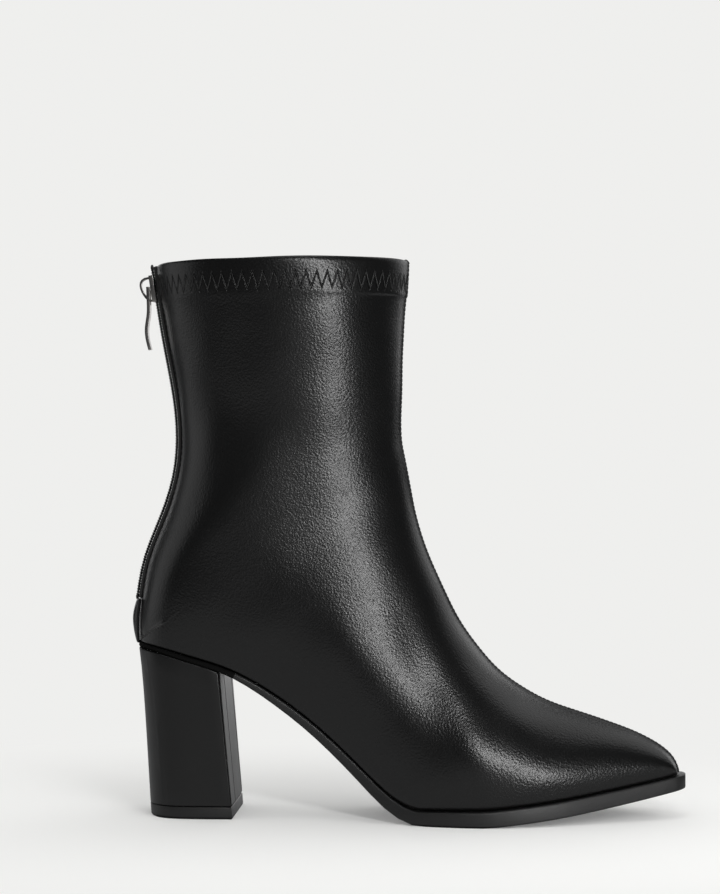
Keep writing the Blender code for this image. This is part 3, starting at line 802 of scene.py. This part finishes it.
def pair_quads(work):
    """Join the upper's triangles into the quads of its grid, row by row from the edges and the back."""
    ends, starts = set(), []
    for edge in work.edges:
        at_back = all(abs(v.co.y) < MERGE and v.co.x < from_back(RIM_BACK) for v in edge.verts)
        if at_back or edge.calc_face_angle(0) > RIM_ANGLE:
            ends.add(edge)
            on_rim = max(rim_height(v.co.x) - v.co.z for v in edge.verts) < RIM_NEAR
            if not on_rim:
                starts.append(edge)
    rows = []
    for edge in starts:
        for face in edge.link_faces:
            walks = [walk_row(edge, face, turn, ends) for turn in (0, 1)]
            rows.append(min(walks, key=lambda walk: walk[0]))
    used, inner = set(), []
    for _, pairs in sorted(rows, key=lambda row: row[0]):
        for pair in pairs:
            if not used.intersection(pair):
                used.update(pair)
                inner.append(next(e for e in pair[0].edges if pair[1] in e.link_faces))
    bmesh.ops.dissolve_edges(work, edges=inner, use_verts=False)
    join_triangles(work, [face for face in work.faces if len(face.verts) == 3])


def bend_share(points):
    """How much each point is on the bend from shaft to foot, from 0 to 1."""
    start, stop = (np.array([from_back(x), z * MM]) for x, z in BEND_LINE)
    way = (stop - start) / np.linalg.norm(stop - start)
    step = points[:, [0, 2]] - start
    off = abs(step[:, 0] * way[1] - step[:, 1] * way[0])
    return 1 - smooth_rise(off, *BEND_REACH)


def mesh_arrays(mesh):
    """Places and normals of a mesh's vertices, and which of them are on the lining."""
    points = np.empty(len(mesh.vertices) * 3)
    normals = np.empty(len(mesh.vertices) * 3)
    mesh.vertices.foreach_get("co", points)
    mesh.vertex_normals.foreach_get("vector", normals)
    inside = np.zeros(len(mesh.vertices), bool)
    for polygon in mesh.polygons:
        if polygon.material_index == 1:
            inside[list(polygon.vertices)] = True
    return points.reshape(-1, 3), normals.reshape(-1, 3), inside


def loose_share(mesh):
    """How loose each vertex is, from 0 on the edges and seam to 1."""
    return np.array([sum(group.weight for group in vertex.groups) for vertex in mesh.vertices])


def even_out(mesh):
    """Smooth a mesh where its vertices are loose. A step out follows each step in, and keeps its size."""
    points = mesh_arrays(mesh)[0]
    loose = loose_share(mesh)[:, None]
    first, second = np.array([edge.vertices for edge in mesh.edges]).T
    count = np.bincount(np.concatenate([first, second]))[:, None]
    for factor in EVEN_FACTORS * EVEN_TIMES:
        around = np.zeros_like(points)
        np.add.at(around, first, points[second])
        np.add.at(around, second, points[first])
        points += factor * loose * (around / count - points)
    mesh.vertices.foreach_set("co", points.ravel())
    mesh.update()


def ease_bend(mesh):
    """Ease the leather over the bend: a vertex goes along its normal to a curved patch fitted round it."""
    points, normals, inside = mesh_arrays(mesh)
    loose = np.where(inside, 0, loose_share(mesh))
    share = loose * bend_share(points)
    tree = KDTree(len(points))
    for i in np.flatnonzero(loose > 0):
        tree.insert(points[i], i)
    tree.balance()
    moved = points.copy()
    for i in np.flatnonzero(share > 0):
        near = np.array([found[1] for found in tree.find_range(points[i], PATCH_REACH)])
        near = near[normals[near] @ normals[i] > PATCH_FACING]
        step = points[near] - points[i]
        side = Vector(normals[i]).orthogonal().normalized()
        a, b = step @ side, step @ np.cross(normals[i], side)
        terms = np.stack([np.ones_like(a), a, b, a * a, a * b, b * b], 1)
        weight = np.exp(-0.5 * (step**2).sum(1) / PATCH_SPREAD**2)
        fit = np.linalg.lstsq(terms * weight[:, None], step @ normals[i] * weight, rcond=None)[0]
        moved[i] += share[i] * fit[0] * normals[i]
    mesh.vertices.foreach_set("co", moved.ravel())


def fine_skin():
    """Fine mesh of the upper, from its own grid, evened out between its edges and front seam."""
    work = merged_node("upper")
    mark_lining(work)
    pair_quads(work)
    loose = work.verts.layers.deform.verify()
    held = hold_edges(work, RIM_CREASE)
    for vertex in work.verts:
        on_seam = abs(vertex.co.y) < SEAM_HALF and vertex.co.x > collar_middle()
        vertex[loose][0] = 0.0 if vertex in held or on_seam else 1.0
    mesh = bpy.data.meshes.new("upper_leather")
    work.to_mesh(mesh)
    work.free()
    mesh.shade_smooth()
    piece = add_object("upper_leather", mesh)
    piece.vertex_groups.new(name="loose")
    subdivide(piece, 1)
    settle(piece)
    even_out(piece.data)
    ease_bend(piece.data)
    subdivide(piece, 1)
    return settle(piece)


def make_upper(skin_material, lining_material):
    """Upper with its folds, in leather outside and lining inside."""
    piece = fine_skin()
    mesh = piece.data
    points, normals, inside = mesh_arrays(mesh)
    drop = rim_height(points[:, 0]) - points[:, 2]
    shift = wave_shift(points) - fold_shift(points)
    shift *= smooth_rise(points[:, 2] - sole_line(points), *FEATHER)
    points += np.where(inside, -shift, shift)[:, None] * normals
    mesh.vertices.foreach_set("co", points.ravel())

    angle = np.arctan2(points[:, 1], points[:, 0] - collar_middle())
    values = {"run": angle, "drop": drop}
    for name, data in values.items():
        attribute = mesh.attributes.new(name, "FLOAT", "POINT")
        attribute.data.foreach_set("value", data.astype(np.float32))
    mesh.update()
    return finish_piece(piece, "upper", "boot", "leather", skin_material, lining_material)


def outer_skin(piece):
    """Tree of the leather side of the upper, to lay stitches on."""
    mesh = piece.data
    faces = [tuple(polygon.vertices) for polygon in mesh.polygons if polygon.material_index == 0]
    return BVHTree.FromPolygons([vertex.co for vertex in mesh.vertices], faces)


def collar_path(skin):
    """Points and normals round the collar at the height of the zigzag, from slit edge to slit edge."""
    points, normals = [], []
    middle = collar_middle()
    for angle in np.linspace(-math.pi, math.pi, COLLAR_STEPS):
        way = Vector((math.cos(angle), math.sin(angle), 0))
        start = Vector((middle, 0, 0)) + COLLAR_REACH * way
        start.z = rim_height(middle + 0.5 * way.x * (RIM_FRONT - RIM_BACK) * MM) - ZIGZAG_DROP
        hit = skin.ray_cast(start, -way, COLLAR_REACH)
        if hit[0] is not None and (hit[0].x > middle or abs(hit[0].y) > SLIT_STITCH_Y):
            points.append(hit[0])
            normals.append(hit[1])
    return np.array(points), np.array(normals)


def lengths_along(points):
    """Length along a row of points, from the first to each."""
    return np.concatenate([[0], np.cumsum(np.linalg.norm(np.diff(points, axis=0), axis=1))])


def set_run(piece, points):
    """Turn the upper's angle round the collar into the length along the zigzag."""
    angle = np.arctan2(points[:, 1], points[:, 0] - collar_middle())
    run = lengths_along(points)
    leg = 0.5 * ZIGZAG_PITCH
    run *= math.floor(run[-1] / leg) * leg / run[-1]
    data = piece.data.attributes["run"].data
    values = np.empty(len(data), np.float32)
    data.foreach_get("value", values)
    data.foreach_set("value", np.interp(values, angle, run).astype(np.float32))


def slit_path(skin, side):
    """Points and normals beside the slit for the zip, from its foot to the rim."""
    low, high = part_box("zip_tape")
    points, normals = [], []
    for z in np.linspace(low.z, high.z - SLIT_STITCH_STOP, COLLAR_STEPS):
        start = Vector((BACK_X - SLIT_PROBE, side * SLIT_STITCH_Y, z))
        hit = skin.ray_cast(start, Vector((1, 0, 0)))
        if hit[0] is not None:
            points.append(hit[0])
            normals.append(hit[1])
    return np.array(points), np.array(normals)


def seam_path(skin):
    """Points and normals along the front seam, from collar to toe."""
    work = merged_node("upper")
    work.normal_update()
    tree = wall_tree()
    crest = []
    for vertex in work.verts:
        at_front = abs(vertex.co.y) < MERGE and vertex.co.x > from_back(SEAM_BACK)
        if at_front and not faces_wall(tree, vertex.co, vertex.normal):
            crest.append(tuple(vertex.co))
    work.free()
    crest = np.array(sorted(crest, key=lambda point: -point[2]))
    run = lengths_along(crest)
    stops = np.linspace(0, run[-1], SEAM_STEPS)
    path = np.stack([np.interp(stops, run, crest[:, i]) for i in range(3)], 1)
    hits = [skin.find_nearest(Vector(point)) for point in path]
    return np.array([hit[0] for hit in hits]), np.array([hit[1] for hit in hits])


def chain_path():
    """Points up the middle of the zip chain, with the way out of the leather."""
    given = [vertex.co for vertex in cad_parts["zip_chain"].data.vertices]
    vertices = np.unique(np.round(given, CHAIN_DECIMALS), axis=0)
    vertices = vertices[np.argsort(vertices[:, 2])]
    low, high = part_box("zip_chain")
    count = len(vertices) // CHAIN_STATION_POINTS
    front = []
    for z in np.linspace(low.z, high.z, CHAIN_LEVELS * count):
        nearest = np.argsort(abs(vertices[:, 2] - z))[:CHAIN_STATION_POINTS]
        front.append(vertices[nearest].mean(0))
    front = np.array(front)
    front[:, 1] = 0
    front = np.unique(front[:, [2, 0, 1]], axis=0)[:, [1, 2, 0]]
    along = np.gradient(front, axis=0)
    out = np.stack([-along[:, 2], np.zeros(len(along)), along[:, 0]], 1)
    return front, out / np.linalg.norm(out, axis=1)[:, None]


# Repeats


REPEAT_INPUTS = [
    ("Pitch", "NodeSocketFloat"),
    ("Length", "NodeSocketFloat"),
    ("Width", "NodeSocketFloat"),
    ("Height", "NodeSocketFloat"),
    ("Lift", "NodeSocketFloat"),
    ("Side", "NodeSocketFloat"),
    ("Slant", "NodeSocketFloat"),
    ("Jitter", "NodeSocketFloat"),
    ("Seed", "NodeSocketInt"),
    ("Material", "NodeSocketMaterial"),
]
REPEAT_DEFAULTS = {"Lift": 0.0, "Side": 0.0, "Slant": 0.0, "Jitter": 0.0, "Seed": 1}
REPEAT_SEGMENTS = 8
REPEAT_RINGS = 6


class Tree:
    """Geometry node tree, with a method that adds a node and links it."""

    def __init__(self, name):
        self.group = bpy.data.node_groups.new(name, "GeometryNodeTree")

    def node(self, kind, settings=None, sockets=None):
        """New node: its settings first, then values or links for its sockets."""
        node = self.group.nodes.new(kind)
        for name, value in (settings or {}).items():
            setattr(node, name, value)
        for key, value in (sockets or {}).items():
            if isinstance(value, bpy.types.NodeSocket):
                self.group.links.new(value, node.inputs[key])
            else:
                node.inputs[key].default_value = value
        return node

    def maths(self, operation, first, second):
        return self.node("ShaderNodeMath", {"operation": operation}, {0: first, 1: second}).outputs[0]

    def vectors(self, operation, sockets):
        return self.node("ShaderNodeVectorMath", {"operation": operation}, sockets).outputs[0]


def repeat_tree():
    """Rounded shapes set along a path, every other one leaning or shifted the other way."""
    tree = Tree("repeat_along")
    face = tree.group.interface
    face.new_socket("Path", in_out="INPUT", socket_type="NodeSocketGeometry")
    for name, kind in REPEAT_INPUTS:
        face.new_socket(name, in_out="INPUT", socket_type=kind)
    face.new_socket("Mesh", in_out="OUTPUT", socket_type="NodeSocketGeometry")
    given = tree.node("NodeGroupInput").outputs

    curve = tree.node("GeometryNodeMeshToCurve", None, {"Mesh": given["Path"]}).outputs[0]
    spacing = {"Curve": curve, "Length": given["Pitch"]}
    spaced = tree.node("GeometryNodeResampleCurve", {"mode": "LENGTH"}, spacing)
    kind = {"data_type": "FLOAT_VECTOR"}
    out = tree.node("GeometryNodeInputNamedAttribute", kind, {"Name": "out"}).outputs[0]
    along = tree.node("GeometryNodeInputTangent").outputs[0]
    index = tree.node("GeometryNodeInputIndex").outputs[0]
    turn = tree.maths("SUBTRACT", tree.maths("MULTIPLY", tree.maths("MODULO", index, 2.0), 2.0), 1.0)

    side = tree.vectors("CROSS_PRODUCT", {0: out, 1: along})
    aside = tree.maths("MULTIPLY", turn, given["Side"])
    sideways = tree.vectors("SCALE", {0: side, "Scale": aside})
    upward = tree.vectors("SCALE", {0: out, "Scale": given["Lift"]})
    shift = tree.vectors("ADD", {0: sideways, 1: upward})
    frame_axes = {"primary_axis": "Z", "secondary_axis": "X"}
    stand = tree.node("FunctionNodeAxesToRotation", frame_axes, {0: out, 1: along}).outputs[0]
    spread = {"Seed": given["Seed"], 2: tree.maths("MULTIPLY", given["Jitter"], -1.0), 3: given["Jitter"]}
    jitter = tree.node("FunctionNodeRandomValue", {"data_type": "FLOAT"}, spread).outputs[1]
    lean = tree.maths("ADD", tree.maths("MULTIPLY", turn, given["Slant"]), jitter)
    about_out = {"Axis": (0, 0, 1), "Angle": lean}
    leaning = tree.node("FunctionNodeAxisAngleToRotation", None, about_out).outputs[0]
    both = {0: stand, 1: leaning}
    turned = tree.node("FunctionNodeRotateRotation", {"rotation_space": "LOCAL"}, both).outputs[0]

    sizes = {0: given["Length"], 1: given["Width"], 2: given["Height"]}
    scale = tree.node("ShaderNodeCombineXYZ", None, sizes).outputs[0]
    ball_sizes = {"Segments": REPEAT_SEGMENTS, "Rings": REPEAT_RINGS, "Radius": 0.5}
    ball = tree.node("GeometryNodeMeshUVSphere", None, ball_sizes).outputs[0]
    shape = tree.node("GeometryNodeSetShadeSmooth", None, {0: ball}).outputs[0]
    shifted = tree.node("GeometryNodeSetPosition", None, {"Geometry": spaced.outputs[0], "Offset": shift})
    set_out = {"Points": shifted.outputs[0], "Instance": shape, "Rotation": turned, "Scale": scale}
    many = tree.node("GeometryNodeInstanceOnPoints", None, set_out).outputs[0]
    real = tree.node("GeometryNodeRealizeInstances", None, {0: many}).outputs[0]
    finish = {0: real, "Material": given["Material"]}
    dressed = tree.node("GeometryNodeSetMaterial", None, finish).outputs[0]
    tree.node("NodeGroupOutput", None, {0: dressed})
    return tree.group


def repeat(name, tree, path, slot, material, **sizes):
    """Piece made of small shapes along a path of points and outward ways."""
    points, out = path
    mesh = bpy.data.meshes.new(name)
    mesh.from_pydata([tuple(p) for p in points], [(i, i + 1) for i in range(len(points) - 1)], [])
    attribute = mesh.attributes.new("out", "FLOAT_VECTOR", "POINT")
    attribute.data.foreach_set("vector", np.asarray(out, np.float32).ravel())
    piece = add_object(name, mesh)
    modifier = piece.modifiers.new("repeat", "NODES")
    modifier.node_group = tree
    given = {**REPEAT_DEFAULTS, "Material": material, **sizes}
    for item in tree.interface.items_tree:
        if item.in_out == "INPUT" and item.name in given:
            modifier[item.identifier] = given[item.name]
    settle(piece)
    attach(piece, "boot")
    return piece


def main():
    make_camera()
    make_lights()
    make_studio()

    black_leather, heel_cover, sole_black = leather(), cover(), moulded()
    # The first colour of each cloth is the painted shade of its hollows
    cloth = woven("lining", KNIT, (0.012, 0.030), 0.9, 0.15 * MM)
    zip_tape = woven("zip_tape", WEAVE, (0.004, 0.012), 0.75, 0.12 * MM)
    seat_painted_shade, metal = painted_shade_black(), nickel()
    thread = plain_black("thread", 0.006, 0.4)
    tooth = plain_black("zip_teeth", 0.008, 0.3)

    upper = make_upper(black_leather, cloth)
    skin = outer_skin(upper)
    collar = collar_path(skin)
    set_run(upper, collar[0])

    sole = rounded_piece("sole", "outsole")
    heel_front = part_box("heel")[1].x
    # Painted shade: the sole's faces over the heel take the dull black
    mark_faces(sole, lambda face: face.center.x < heel_front)
    finish_piece(sole, "outsole", "boot", "sole", sole_black, seat_painted_shade)
    finish_piece(rounded_piece("insole_sock", "insole"), "insole", "boot", "lining", cloth)
    heel = score_breast(rounded_piece("heel_block", "heel"))
    # Painted shade: the cover's turned edge on the outer side of the breast takes the dull black
    mark_faces(heel, lambda face: face.normal.x > BREAST_FACING and face.center.y < COVER_EDGE)
    finish_piece(heel, "heel", "boot", "heel_cover", heel_cover, seat_painted_shade)
    finish_piece(rounded_piece("heel_lift", "top_lift"), "top_lift", "boot", "top_lift", sole_black)
    make_tab(black_leather)
    make_tape(zip_tape)
    finish_piece(rounded_piece("slider", "zip_slider"), "zip_slider", "boot", "zip_metal", metal)
    finish_piece(rounded_piece("pull_tab", "zip_pull"), "zip_pull", "pull", "zip_metal", metal)

    tree = repeat_tree()
    half = math.atan2(ZIGZAG_TALL, 0.5 * ZIGZAG_PITCH)
    leg = math.hypot(ZIGZAG_TALL, 0.5 * ZIGZAG_PITCH)
    repeat(
        "cuff_zigzag", tree, collar, "leather", thread, Pitch=0.5 * ZIGZAG_PITCH,
        Length=ZIGZAG_OVERLAP * leg, Width=0.55 * MM, Height=0.6 * MM, Slant=half, Jitter=0.03,
    )
    for side, name in ((-1, "outer"), (1, "inner")):
        repeat(
            "zip_stitches_" + name, tree, slit_path(skin, side), "leather", thread,
            Pitch=SLIT_STITCH_PITCH, Length=2.2 * MM, Width=0.5 * MM, Height=0.4 * MM, Jitter=0.04,
        )
    repeat(
        "front_seam_ribs", tree, seam_path(skin), "leather", thread,
        Pitch=SEAM_RIB_PITCH, Length=2.6 * MM, Width=2.2 * MM, Height=1.0 * MM, Lift=-0.15 * MM, Jitter=0.1,
    )
    teeth = repeat(
        "zip_teeth", tree, chain_path(), "zip_teeth", tooth,
        Pitch=0.5 * ZIP_TOOTH_PITCH, Length=0.75 * MM, Width=3.4 * MM, Height=1.5 * MM, Side=0.55 * MM,
    )
    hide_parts("zip_chain")


main()
